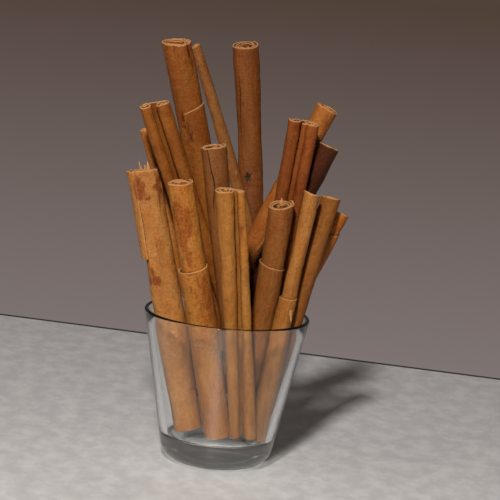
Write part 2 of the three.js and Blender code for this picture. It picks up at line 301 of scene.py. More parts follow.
@dataclass(frozen=True)
class Mark:
    """A place on the outer bark, by its turn from the front, that sinks, swells or changes colour."""

    turn: float
    below: float
    across: float = 1.5
    tall: float = 2.0
    depth: float = 0.0
    stain: float = 0.0
    # shade: painted shade in the dent, split or furrow that a mark lies on
    shade: float = 0.0
    points: int = 0

    STAR = 0.45
    UNEVEN = 0.35

    def strength(self, angle: Array, along: Array, length: float, radius: float, own: Ripple) -> Array:
        """A bell curve in distance round and along the quill, star-shaped for one with points, else uneven.

        Args:
            angle: Angle round the quill.
            along: Length run from the foot.
            length: The quill's length.
            radius: The quill's radius.
            own: The unevenness.

        Returns:
            The strength.
        """
        off = (angle - (FRONT + self.turn) + math.pi) % TURN - math.pi
        u, v = off * radius / self.across, (length - self.below - along) / self.tall
        if self.points:
            return bell(np.hypot(u, v) * (1 + self.STAR * np.cos(self.points * np.arctan2(v, u))))
        return bell(np.hypot(u, v) * (1 + self.UNEVEN * own.at(angle * 5, along / 2.2)))


@dataclass(frozen=True)
class Crack:
    """A split in the outer bark: its course is pairs of depth below the head and turn from the front."""

    course: tuple[tuple[float, float], ...]
    width: float = 0.28
    depth: float = 1.1

    FADE, OPENING, NARROWEST = 6.0, 4.0, 0.35

    def shift(self, below: Array) -> Array:
        """Turn of the course since its start, at depths below the head."""
        depths, turns = np.transpose(self.course)
        return np.interp(below, depths, turns) - turns[0]

    def band(self, off: Array, below: Array) -> Array:
        """A steep-sided band about the course, which narrows and fades out at its lower end.

        Args:
            off: Distance from the course.
            below: Depth below the head.

        Returns:
            The strength.
        """
        start, end = self.course[0][0], self.course[-1][0]
        fade = np.clip((end - below) / self.FADE, 0, 1)
        if start > 0:
            fade = fade * np.clip((below - start) / self.OPENING, 0, 1)
        width = self.width * blend(self.NARROWEST, 1, fade)
        return bell((off / width) ** 2) * np.minimum(fade * 3, 1)


@dataclass(frozen=True)
class Curl:
    """One rolled edge of a sheet: where its centre stands, its outer radius and its turns inwards."""

    x: float
    radius: float
    turns: float = 2.0
    y: float = 0.0


def furrows(curls: tuple[Curl, ...]) -> list[tuple[float, float]]:
    """The middle and the smaller radius of each furrow between neighbouring rolls."""
    pairs = zip(curls, curls[1:])
    return [((a.x + a.radius + b.x - b.radius) / 2, min(a.radius, b.radius)) for a, b in pairs]


@dataclass(frozen=True)
class SheetEnd:
    """One end of a sheet: its distance from the axis's end, its slopes to the right and back, its chips."""

    back: float = 0.0
    right: float = 0.0
    away: float = 0.0
    chips: float = 0.35
    sunk: float = 0.0

    def slope(self, flat: Array) -> Array:
        """Height of the sloped cut: each coordinate of the section times its own slope."""
        return flat[:, 0] * self.right + flat[:, 1] * self.away


@dataclass
class Sheet:
    """A sheet of bark, rolled up across its width and swept along a quill."""

    line: Array
    thickness: float
    head: SheetEnd
    foot: SheetEnd
    seed: int
    outer: bool = True
    fine: float = 0.75
    coarse: float = 1.9
    fine_run: float = 46.0
    feather: float = 0.0
    lift: float = 0.0
    hand: int = 1
    foot_line: Array | None = None

    ROUNDED = (0.0, 0.1, 0.3, 0.8, 1.6, 2.7)
    DRAWN_IN = (0.62, 0.9)
    EDGE_LIGHT = (1.0, 0.85, 0.15)
    SIDE_LIGHT = (0.3, 0.15)
    EDGES = (0.12, 0.35)
    SPLIT_REACH, SPLIT_POINTS = 1.2, 25
    THINNEST = 0.12

    @property
    def ruler(self) -> Array:
        """Length run at each point of the rolled line."""
        return ruler_of(self.line)

    def columns(self, pivot: float | None) -> Array:
        """Places across the sheet at which points stand: close on the outer turn, wider further in.

        Args:
            pivot: Where a split needs closer points, if there is one.

        Returns:
            Distances from the sheet's first edge.
        """
        total = self.ruler[-1]
        outside, edges = min(self.fine_run, total), np.array(self.EDGES)
        near = np.linspace(0, outside, max(6, round(outside / self.fine)))
        far = np.linspace(outside, total, max(2, round((total - outside) / self.coarse)))
        parts = [near, far, edges, total - edges]
        if pivot is not None:
            parts.append(pivot + np.linspace(-self.SPLIT_REACH, self.SPLIT_REACH, self.SPLIT_POINTS))
        return np.unique(np.clip(np.concatenate(parts), 0, total).round(4))

    def section(self, place: Array, climb: Array) -> tuple[Array, Array]:
        """Points and outward normals of the rolled line: the foot's line blended into the head's.

        Args:
            place: Distances along the head's line.
            climb: Share of the way up.

        Returns:
            The points and the normals, with the right and the back coordinate first.
        """
        ruler, found = self.ruler, []
        for line in (self.line if self.foot_line is None else self.foot_line, self.line):
            both = np.concatenate([line, unit(np.gradient(line, axis=0))], 1)
            found.append(np.array([np.interp(place, ruler, values) for values in both.T]))
        spot, run = np.split(found[0] + (found[1] - found[0]) * climb, 2)
        return spot, self.hand * np.array([-run[1], run[0]]) / np.maximum(np.hypot(*run), 1e-6)

    def slope(self, end: int) -> Array:
        """Direction of the rolled line at its first (0) or last (-1) point."""
        return unit(np.diff(self.line, axis=0)[end])[:, None, None]

    def half(self, across: Array, rows: int) -> Array:
        """Half the thickness: drawn in at the rounded ends, and thinned to the edges of a feathered sheet.

        Args:
            across: Places of the columns.
            rows: How many rows there are.

        Returns:
            The half of each point.
        """
        drawn = np.ones((rows, 1))
        drawn[:2, 0] = drawn[:-3:-1, 0] = self.DRAWN_IN
        half = self.thickness / 2 * drawn * np.ones_like(across)
        if self.feather:
            inward = np.minimum(across, across[-1] - across)
            half *= np.sqrt(np.clip(inward / self.feather, self.THINNEST, 1))
        return half

    def cut(self, rows: int, count: int) -> Array:
        """Lightness of the cut edges: strong at both ends, a little along the two sides.

        Args:
            rows: How many rows there are.
            count: How many columns there are.

        Returns:
            The share of cut bark round each row.
        """
        edge = np.zeros((rows, count))
        edge[:3] = edge[:-4:-1] = np.array(self.EDGE_LIGHT)[:, None]
        rim = edge.copy()
        rim[:, :2] = np.maximum(rim[:, :2], self.SIDE_LIGHT)
        return folded(rim, self.SIDE_LIGHT[0], edge, self.SIDE_LIGHT[0])


class Growth(Enum):
    """How a quill's bark is rolled."""

    SINGLE = "one roll"
    ROW = "rolls side by side, joined at the back"


@dataclass
class Quill:
    """A rolled quill of bark: one or more curled sheets with wrappers, marks, splits and flakes."""

    name: str
    slot: str
    seed: int
    tone: Colour
    axis: Axis
    curls: tuple[Curl, ...]
    growth: Growth = Growth.SINGLE
    seam: float = 0.7
    bark: float = 0.95
    gap: float = 0.13
    foot_size: float = 1.0
    head_size: float = 1.0
    size_power: float = 1.0
    swells: tuple[tuple[float, float, float], ...] = ()
    head: SheetEnd = SheetEnd()
    foot: SheetEnd = SheetEnd(chips=0.5)
    wrappers: tuple["Wrapper", ...] = ()
    marks: tuple[Mark, ...] = ()
    crack: Crack | None = None
    flakes: tuple["Flake", ...] = ()
    filling: tuple[Curl, ...] = ()
    lift: float = 0.12
    hand: int = 1
    oval: float = 1.0
    shift: float = 0.0
    foot_curls: tuple[Curl, ...] = ()

    INNER_SHADE, INNER_STAIN = 0.3, 0.2
    LUMPS, LUMP_TURN, LUMP_TALL = 0.022, 1.6, 13
    ROUGH, INNER_ROUGH = 0.27, 0.5
    WAVES = ((0.55, 3.1, 0, 7.5), (0.3, 1.5, 9, 3.4), (0.25, 1.1, 0, 1.9))
    ROW_STEP = 0.95
    FULL, LOOSE = 0.6, 0.6
    LINE_STEPS = 90
    SMALLEST = 0.35
    INNER_PLACE = 300
    CRACK_REACH = 6
    LIFT_REACH = 1.6
    WALL_LEFT, SUNK_THROUGH = 0.5, 0.8
    TIP = 0.5
    # painted shade along a sheet's two side edges, such as the step at a seam
    SIDE_EDGE_PAINTED_SHADE = (0.2, 0.1)
    FURROW_WIDTH, FURROW_UNEVEN = 1.25, 0.35
    FURROW_START, FURROW_RUN = 0.85, 0.3

    def size_at(self, share: Array | float) -> Array:
        """Thickness as a factor: a power curve from foot to head, plus bell-shaped swells.

        Args:
            share: Share of the way up.

        Returns:
            The factor.
        """
        size = blend(self.foot_size, self.head_size, np.clip(share, 0, 1) ** self.size_power)
        for rise, middle, spread in self.swells:
            size = size + rise * bell((share - middle) / spread)
        return size

    # -- rolled lines, seen from the head: x to the right, y to the back

    def roll_line(self, curl: Curl, start: float, hand: int, full: float = 0.0) -> Array:
        """A spiral from its outer edge inwards: the radius shrinks with the angle, a little unevenly inside.

        Args:
            curl: The roll.
            start: Angle of the outer edge.
            hand: 1 to turn with the angle, -1 against it.
            full: Share of the first turn that keeps the whole radius; the rest of that turn catches up.

        Returns:
            Points of the line.
        """
        swept = np.linspace(0, curl.turns * TURN, int(self.LINE_STEPS * curl.turns) + 2)
        share = swept / TURN
        late = eased(np.clip((share - full) / (1 - full), 0, 1)) if full else share
        radius = curl.radius - self.bark / 2 - (self.bark + self.gap) * np.where(share < 1, late, share)
        loose = np.clip(share - self.LOOSE, 0, 1) * (self.gap + 0.1)
        radius = radius + loose * Ripple(self.seed * 7 + 3).at(share * 3.1, curl.x + 20)
        return ring(curl.x, curl.y, np.maximum(radius, self.SMALLEST), start + hand * swept)

    def line(self, curls: tuple[Curl, ...]) -> Array:
        """The main sheet's rolled line, with the outside on its left hand.

        A row is rolled in from both edges. The straight stretch between touches both rolls' backs, at the
        angle whose sine is the difference of their radii over their distance.

        Args:
            curls: The rolls, from left to right.

        Returns:
            Points of the line.
        """
        if self.growth is Growth.SINGLE:
            return self.roll_line(curls[0], self.seam, -self.hand)
        first, last = curls[0], curls[-1]
        wide, deep = last.x - first.x, last.y - first.y
        tilt = math.asin((last.radius - first.radius) / math.hypot(wide, deep))
        start = BACK + math.atan2(deep, wide) + tilt
        left = self.roll_line(first, start, 1, self.FULL)[::-1]
        right = self.roll_line(last, start, -1, self.FULL)
        steps = np.linspace(0, 1, 12)[1:-1, None]
        return np.concatenate([left, blend(left[-1], right[0], steps), right])

    # -- shells

    def shell(self, sheet: Sheet) -> Shell:
        """Sweeps a sheet along the quill.

        Each point is the rolled line plus or minus half the thickness along its normal, times the quill's
        size and lumps that follow angle and height, carried to the axis. Rows bunch at the two rounded ends,
        and each column runs from its own chipped foot to its own chipped head.

        Args:
            sheet: The sheet.

        Returns:
            The closed shell.
        """
        length = self.axis.length
        crack = self.crack if sheet.outer else None
        pivot = self._place_of(sheet, FRONT + crack.course[0][1]) if crack else None
        across = sheet.columns(pivot)
        rows = self._rows(length - sheet.head.back - sheet.foot.back)
        ripple, own = Ripple(self.seed * 11 + sheet.seed), Ripple(self.seed * 17 + sheet.seed + 2)
        rough = Ripple(self.seed * 13 + sheet.seed + 5)
        foot, head = self._ends(sheet, across, ripple)
        along = blend(foot, head, (rows / rows[-1])[:, None])
        place, off = np.broadcast_to(across, along.shape), None
        if crack:
            shift = crack.shift(length - along) * self.curls[0].radius
            place = place - shift * bell((across - pivot) / self.CRACK_REACH)
            off = place - pivot + shift
        spot, normal = sheet.section(place, along / length)
        half = sheet.half(across, rows.size)
        lifted = sheet.lift * np.exp(-across / self.LIFT_REACH) * (0.6 + 0.4 * ripple.at(along / 9, 0))
        relief = np.zeros_like(along)
        for (high, wide, on, tall), table in zip(self.WAVES, (rough, rough, own)):
            relief += high * table.at(place / wide + on, along / tall)
        relief = relief * self.ROUGH * (1.0 if sheet.outer else self.INNER_ROUGH)
        outward, inward = half + lifted + relief, lifted - half
        stain = shade = np.zeros_like(along)
        if sheet.outer:
            sink, stain, shade = self._marked(np.arctan2(*spot[::-1]), along, off)
            outward = outward - sink
            inward = inward - self.SUNK_THROUGH * np.clip(sink - self.WALL_LEFT, 0, None)
        # painted shade deep in the furrows between neighbouring rolls
        furrow = self._painted_furrow_shade(spot, along / length, own.at(place / 0.9 + 5, along / 2.3))
        far = spot[..., -1:] + self.TIP * half[:, -1:] * sheet.slope(-1)
        near = spot[..., :1] - self.TIP * half[:, :1] * sheet.slope(0) + normal[..., :1] * lifted[:, :1]
        x, y = folded(spot + normal * outward, far, spot + normal * inward, near)
        loop = folded(along, along[:, -1:], along, along[:, :1])
        lumps = Ripple(self.seed).at(np.arctan2(y, x) * self.LUMP_TURN + 11, loop / self.LUMP_TALL)
        size = self.size_at(loop / length) * (1 - self.LUMPS * (0.7 - lumps))
        points = self.axis.carry(x * size * self.oval + self.shift, y * size, loop)
        around = folded(place, place[:, -1:], place + self.INNER_PLACE, place[:, :1])
        grain = np.stack([around, loop, np.full_like(loop, sheet.seed * 3 + self.seed * 17)], -1)
        faces = [loop_faces(*loop.shape), *sheet_caps(0, across.size, False)]
        faces += sheet_caps(loop[:-1].size, across.size, True)
        stain = folded(stain, 0.0, np.full_like(stain, self.INNER_STAIN), 0.0)
        # the inner face takes the furrows' painted shade too, where it shows through a furrow
        inside = np.maximum(furrow, self.INNER_SHADE)[:, ::-1]
        shade = folded(np.maximum(shade, furrow), self.SIDE_EDGE_PAINTED_SHADE[0], inside, self.SIDE_EDGE_PAINTED_SHADE[1])
        return Shell(points, faces, grain, sheet.cut(*along.shape), stain, shade)

    def _rows(self, run: float) -> Array:
        """Row heights of a sheet: even steps, closer at both rounded ends.

        Args:
            run: The sheet's length.

        Returns:
            The heights.
        """
        ends = np.array(Sheet.ROUNDED)
        middle = np.linspace(ends[-1], run - ends[-1], max(3, round(run / self.ROW_STEP)))[1:-1]
        return np.concatenate([ends, middle, run - ends[::-1]])

    def _ends(self, sheet: Sheet, across: Array, ripple: Ripple) -> tuple[Array, Array]:
        """Foot and head height of each column: the sloped cuts with chips, less what inner turns sink.

        Args:
            sheet: The sheet.
            across: Places of the columns.
            ripple: The unevenness of the chips.

        Returns:
            The feet and the heads.
        """
        low, high = sheet.foot, sheet.head
        flat = np.stack([np.interp(across, sheet.ruler, sheet.line[:, k]) for k in (0, 1)], -1)
        ragged = 0.5 * ripple.at(across / 0.9, 25) + ripple.at(across / 4.6, 31)
        foot = low.back + low.slope(flat) + low.chips * (0.7 * ragged + 0.6)
        ragged = 0.45 * ripple.at(across / 0.8, 5) + ripple.at(across / 4.2, 9)
        bites = np.clip(np.clip(ripple.at(across / 6, 14) - 0.45, 0, 1) * 2.4, 0, 1.4)
        sunk = high.sunk * np.clip(across / max(across[-1], 1), 0, 1)
        head = self.axis.length - high.back + self.size_at(1.0) * high.slope(flat)
        return foot, head + high.chips * (ragged - bites) - sunk

    def _place_of(self, sheet: Sheet, angle: float) -> float:
        """Distance across the sheet at which the outer turn of a single roll passes an angle."""
        turned = (self.seam - angle) % TURN / (self.curls[0].turns * TURN)
        return float(np.interp(turned, np.linspace(0, 1, len(sheet.line)), sheet.ruler))

    def _marked(self, angle: Array, along: Array, off: Array | None) -> tuple[Array, Array, Array]:
        """What marks and split do to the outer face: depths add up, and the strongest colour counts.

        Args:
            angle: Angle round the quill.
            along: Length run from the foot.
            off: Distance from the split's course, if there is a split.

        Returns:
            How far the surface sinks, its stain and its shade.
        """
        sink, stain, shade = np.zeros((3, *along.shape))
        radius, length = max(curl.radius + abs(curl.x) for curl in self.curls), self.axis.length
        own = Ripple(self.seed + 70)
        for mark in self.marks:
            strength = mark.strength(angle, along, length, radius, own)
            sink += mark.depth * strength
            stain = np.maximum(stain, mark.stain * strength)
            shade = np.maximum(shade, mark.shade * strength)
        if off is not None:
            # a split is darkened along its course as well: painted shade in its hollow
            band = self.crack.band(off, length - along)
            sink += self.crack.depth * band
            shade = np.maximum(shade, band)
        return sink, stain, shade

    def _painted_furrow_shade(self, spot: Array, climb: Array, uneven: Array) -> Array:
        """Painted shade in the furrows between rolls: a steep bell across each, none at its front edge.

        Args:
            spot: Right and back coordinates of the section.
            climb: Share of the way up.
            uneven: Unevenness of the furrow's edge.

        Returns:
            The shade.
        """
        shade = np.zeros_like(climb)
        for foot, head in zip(furrows(self.foot_curls or self.curls), furrows(self.curls)):
            middle, radius = (blend(low, high, climb) for low, high in zip(foot, head))
            across = (spot[0] - middle) / (self.FURROW_WIDTH + self.FURROW_UNEVEN * uneven)
            deep = np.clip((spot[1] + self.FURROW_START * radius) / (self.FURROW_RUN * radius), 0, 1)
            shade = np.maximum(shade, bell(across**2) * deep)
        return shade

    def _core(self, curl: Curl, index: int) -> Sheet:
        """A small inner roll.

        Args:
            curl: The roll.
            index: Its number in the quill.

        Returns:
            The sheet.
        """
        foot = SheetEnd(self.axis.length * 0.6) if self.foot_curls else self._inner_end(index + 5)
        line = self.roll_line(curl, self.seam + 2.1 + 1.7 * index, -1)
        return Sheet(line, self.bark * 0.8, self._inner_end(index), foot, 20 + index, False, 1.1, 1.4)

    def _inner_end(self, index: int) -> SheetEnd:
        """The end of a small inner roll, which stands a little above or below the sheet round it."""
        back = float(np.random.default_rng(self.seed * 5 + index).uniform(0.3, 2.4))
        return SheetEnd(back, self.head.right, self.head.away, 0.6)

    def build(self, finish: Material) -> None:
        """Builds the quill from its main sheet, middle rolls, inner rolls, wrappers and flakes.

        Args:
            finish: The bark's material.
        """
        shape = self.bark, self.head, self.foot
        main = Sheet(self.line(self.curls), *shape, 0, lift=self.lift, hand=self.hand)
        if self.foot_curls:
            main.foot_line = self.line(self.foot_curls)
        if self.growth is Growth.ROW:
            main.fine_run, main.fine, main.lift = 400.0, 0.85, 0.0
        sheets = [main]
        for index, curl in enumerate(self.curls[1:-1]):
            sheets.append(Sheet(self.roll_line(curl, BACK, -1), *shape, 10 + index))
        sheets += [self._core(curl, index) for index, curl in enumerate(self.filling)]
        sheets += [wrapper.sheet(self, 40 + index) for index, wrapper in enumerate(self.wrappers)]
        shells = [self.shell(sheet) for sheet in sheets]
        shells += [flake.shell(self, index) for index, flake in enumerate(self.flakes)]
        MeshPiece(f"bark_{self.name}", self.name, self.slot).make(shells, finish, self.tone)


@dataclass(frozen=True)
class Wrapper:
    """An outer sheet that covers the lower part of a quill, with a light lip at its upper edge."""

    below: float
    rise: float
    slant: float = 0.0
    facing: float = BACK
    reach: float = math.pi * 1.03
    chips: float = 0.3
    tall: float = 0.0
    feather: float = 2.6

    STEPS = 160
    CLEAR, CLOSING = 0.03, (0.14, -0.1)
    THICK = 0.94
    ROUND = math.pi * 0.9

    def sheet(self, quill: Quill, seed: int) -> Sheet:
        """The wrapper's sheet: an arc of a circle just outside the quill's own bark.

        Args:
            quill: The quill that it covers.
            seed: The number that its chips follow from.

        Returns:
            The sheet.
        """
        curl, half = quill.curls[0], self.rise * self.THICK / 2
        full = self.reach > self.ROUND
        around = np.linspace(self.facing + self.reach, self.facing - self.reach, self.STEPS)
        closing = np.linspace(*self.CLOSING, self.STEPS) if full else 0.0
        line = ring(curl.x, 0.0, curl.radius + self.CLEAR + half + closing, around)
        head = SheetEnd(self.below, self.slant / curl.radius, chips=self.chips)
        foot = SheetEnd(quill.axis.length - self.below - self.tall if self.tall else 0.0, chips=0.4)
        return Sheet(line, 2 * half, head, foot, seed, feather=0.8 if full else self.feather)


@dataclass(frozen=True)
class Flake:
    """A pointed sliver of bark that has peeled away from a quill."""

    angle: float
    below: float
    out: float
    length: float
    width: float
    lean: float
    thickness: float = 0.35
    light: float = 0.4

    ROWS, COLUMNS = 12, 6
    JAGGED, TAPER, NARROWEST = 0.25, 1.6, 0.12
    CURVE, HOLLOW = 0.05, 0.14
    THINNED, SPLAY = 0.7, 0.15

    def shell(self, quill: Quill, index: int) -> Shell:
        """The sliver's shell.

        Its width tapers as a power of the way to the tip, it curves away from the quill with the square of
        that way, and its two faces meet along both edges.

        Args:
            quill: The quill that it grows from.
            index: Its number on the quill.

        Returns:
            The closed shell.
        """
        way, side = np.linspace(0, 1, self.ROWS)[:, None], np.linspace(-1, 1, self.COLUMNS)
        jag = 1 + self.JAGGED * Ripple(quill.seed * 3 + index).at(way * 5, 3)
        wide = self.width * (1 - way**self.TAPER) * jag + self.NARROWEST
        across = side / 2 * wide
        out = self.out + self.length * way * (math.sin(self.lean) + self.CURVE * way)
        out = out - self.HOLLOW * side**2 * wide
        rise = quill.axis.length - self.below + self.length * way * math.cos(self.lean) + 0 * side
        half = self.thickness / 2 * (1 - self.THINNED * way)
        edge = np.sqrt(np.clip(1 - side**2, 0.02, 1))
        cos, sin = math.cos(self.angle), math.sin(self.angle)
        sides = []
        for sign in (1, -1):
            radial = out + sign * half * edge
            x, y = radial * cos - across * sin, radial * sin + across * cos
            sides.append(np.stack([x, y, rise + self.SPLAY * sign * half]))
        outer, inner = sides
        x, y, along = np.concatenate([outer, inner[..., ::-1]], -1)
        count, strip = 2 * self.COLUMNS, np.arange(self.COLUMNS - 1)
        cap = np.stack([strip, strip + 1, count - 2 - strip, count - 1 - strip], -1)
        faces = [loop_faces(self.ROWS, count), cap[:, ::-1], cap + (self.ROWS - 1) * count]
        grain = np.stack([x + self.angle * 9, along, np.full_like(x, quill.seed * 17 + index)], -1)
        light = np.broadcast_to(self.light + (1 - self.light) * way**2, x.shape)
        return Shell(quill.axis.carry(x, y, along), faces, grain, light)


# ---------------------------------------------------------------- tumbler


@dataclass(frozen=True)
class Tumbler:
    """The clear tapered tumbler: a turned profile with a heavy base, a round heel and a rounded rim."""

    rim_radius: float = 40.0
    height: float = 74.0
    base_radius: float = 25.8
    heel_radius: float = 10.5
    wall: float = 1.9
    floor_height: float = 13.0
    floor_radius: float = 25.1
    floor_fillet: float = 2.0
    hollow_radius: float = 15.0
    hollow_depth: float = 1.3
    around: int = 160

    CORE = 1.2

    def profile(self) -> Array:
        """Radius and height from the middle of the foot, up the outside, over the rim and down the inside.

        Returns:
            Points of the profile.
        """
        run = unit(np.array([self.rim_radius - self.base_radius, self.height]))
        slant, down = math.atan2(-run[0], run[1]), -math.pi / 2
        heel, lip, fillet = self.heel_radius, self.wall / 2, self.floor_fillet
        heel_x = self.base_radius - heel / math.cos(slant) + heel * run[0] / run[1]
        corner = self.floor_radius - fillet
        outside = ring(heel_x, heel, heel, np.linspace(down, slant, 23))
        rim = ring(self.rim_radius - lip, self.height - lip, lip, np.linspace(slant, math.pi + slant, 15))
        inside = ring(corner, self.floor_height + fillet, fillet, np.linspace(slant, down, 11))
        steps = np.linspace(0, 1, 12)[1:-1, None]
        across = np.linspace(self.CORE, self.hollow_radius, 12)
        sole = np.stack([across, self.hollow_depth * (1 - (across / self.hollow_radius) ** 2) ** 0.7], -1)
        floor = np.stack([np.linspace(corner - 0.8, self.CORE, 6), np.full(6, self.floor_height)], -1)
        climb, drop = blend(outside[-1], rim[0], steps), blend(rim[-1], inside[0], steps)
        return np.concatenate([sole, outside, climb, rim, drop, inside, floor])

    def build(self, finish: Material) -> None:
        """Turns the profile about the upright axis: x and y are the radius times the turn's cosine and sine.

        Args:
            finish: The glass.
        """
        first = np.arange(self.around)
        after, turn = (first + 1) % self.around, first / self.around * TURN
        radius, height = self.profile().T[..., None]
        level = (height + 0 * turn)[..., None]
        points = np.concatenate([ring(0, 0, radius, turn), level], -1).reshape(-1, 3)
        low = np.full(self.around, len(points))
        top = len(points) - self.around
        foot, floor = np.stack([after, first, low], -1), np.stack([top + first, top + after, low + 1], -1)
        points = np.concatenate([points, [[0, 0, self.hollow_depth], [0, 0, self.floor_height]]])
        shell = Shell(points, [loop_faces(len(radius), self.around), foot, floor], points)
        MeshPiece("clear_tumbler", "tumbler", "clear_glass").make([shell], finish)


# ---------------------------------------------------------------- finishes


class Wire:
    """A shader value that Python expressions can add, take away, multiply and divide."""

    def __init__(self, recipe: "Recipe", socket: bpy.types.NodeSocket) -> None:
        """Wraps an output socket of a recipe."""
        self.recipe, self.socket = recipe, socket

    def _sum(self, kind: str, first: "Wire | float", second: "Wire | float", clamp: bool = False) -> "Wire":
        """One Math node on two values."""
        settings = {"operation": kind, "use_clamp": clamp}
        return self.recipe.node("ShaderNodeMath", settings, {0: first, 1: second})

    def __add__(self, other: "Wire | float") -> "Wire":
        """This plus other."""
        return self._sum("ADD", self, other)

    def __mul__(self, other: "Wire | float") -> "Wire":
        """This times other."""
        return self._sum("MULTIPLY", self, other)

    __radd__, __rmul__ = __add__, __mul__

    def __sub__(self, other: "Wire | float") -> "Wire":
        """This minus other."""
        return self._sum("SUBTRACT", self, other)

    def __rsub__(self, other: float) -> "Wire":
        """Other minus this."""
        return self._sum("SUBTRACT", other, self)

    def __truediv__(self, other: "Wire | float") -> "Wire":
        """This over other."""
        return self._sum("DIVIDE", self, other)

    def __rtruediv__(self, other: float) -> "Wire":
        """Other over this."""
        return self._sum("DIVIDE", other, self)

    def held(self) -> "Wire":
        """This, held between 0 and 1."""
        return self._sum("ADD", self, 0.0, clamp=True)

    def ramp(self, low: float, high: float) -> "Wire":
        """0 at low, 1 at high and a straight run between them."""
        return ((self - low) / (high - low)).held()

    def between(self, low: float, high: float) -> "Wire":
        """0 below low, 1 above high and a smooth step between them."""
        ends = {"Value": self, "From Min": low, "From Max": high}
        return self.recipe.node("ShaderNodeMapRange", {"interpolation_type": "SMOOTHSTEP"}, ends)


class Recipe:
    """A material or a world under construction."""

    def __init__(self, owner: Material | bpy.types.World, output: str = "ShaderNodeOutputMaterial") -> None:
        """Starts an empty set of nodes.

        Args:
            owner: What the nodes belong to.
            output: The type of its output node.
        """
        owner.use_nodes = True
        self.owner, self.tree = owner, owner.node_tree
        self.tree.nodes.clear()
        self.output = self.tree.nodes.new(output)

    def node(
        self, kind: str, settings: dict[str, object], inputs: dict[int | str, object], output: int | str = 0
    ) -> Wire:
        """Adds a node.

        Args:
            kind: The node's type.
            settings: Its settings, set first.
            inputs: Values, colours or wires for its sockets.
            output: Which socket comes out.

        Returns:
            The output, as a wire.
        """
        made = self.tree.nodes.new(kind)
        for key, value in settings.items():
            setattr(made, key, value)
        for key, value in inputs.items():
            if isinstance(value, Wire):
                self.tree.links.new(value.socket, made.inputs[key])
            else:
                made.inputs[key].default_value = value
        return Wire(self, made.outputs[output])

    def attribute(self, name: str, output: str = "Fac") -> Wire:
        """A value or vector that the piece carries at its points."""
        return self.node("ShaderNodeAttribute", {"attribute_name": name}, {}, output)

    def noise(
        self, place: Wire, stretch: Place, detail: float, roughness: float, scale: float = 1.0
    ) -> Wire:
        """Cloudy noise from 0 to 1 on a place that is scaled by itself across and along the grain.

        Args:
            place: Where each point reads the noise.
            stretch: The scales across and along, and a shift that sets it apart from other noises.
            detail: How many finer layers it has.
            roughness: How strong they are.
            scale: One more scale, on both.

        Returns:
            The noise.
        """
        across, along, shift = stretch
        terms = {0: place, 1: (across, along, 1.0), 2: (shift, shift * 0.7, shift * 1.3)}
        scaled = self.node("ShaderNodeVectorMath", {"operation": "MULTIPLY_ADD"}, terms)
        values = {"Vector": scaled, "Scale": scale, "Detail": detail, "Roughness": roughness}
        return self.node("ShaderNodeTexNoise", {}, values)

    def mix(self, share: Wire, first: Wire | Colour, second: Wire | Colour, kind: str = "MIX") -> Wire:
        """A blend of two colours."""
        settings = {"data_type": "RGBA", "blend_type": kind, "clamp_factor": True}
        return self.node("ShaderNodeMix", settings, {6: colour_of(first), 7: colour_of(second), 0: share}, 2)

    def bumpy(self, height: Wire, strength: float, distance: float) -> Wire:
        """The surface's normal, tilted by the slope of a height."""
        sockets = {"Strength": strength, "Distance": distance, "Height": height}
        return self.node("ShaderNodeBump", {}, sockets, "Normal")

    def finish(self, kind: str, sockets: dict[int | str, object]) -> Material | bpy.types.World:
        """Wires a shader with its sockets to the surface."""
        self.tree.links.new(self.node(kind, {}, sockets).socket, self.output.inputs["Surface"])
        return self.owner


def colour_of(value: "Wire | Colour") -> "Wire | tuple[float, ...]":
    """A colour with its fourth number, or the wire as it is."""
    return value if isinstance(value, Wire) else (*value, 1.0)


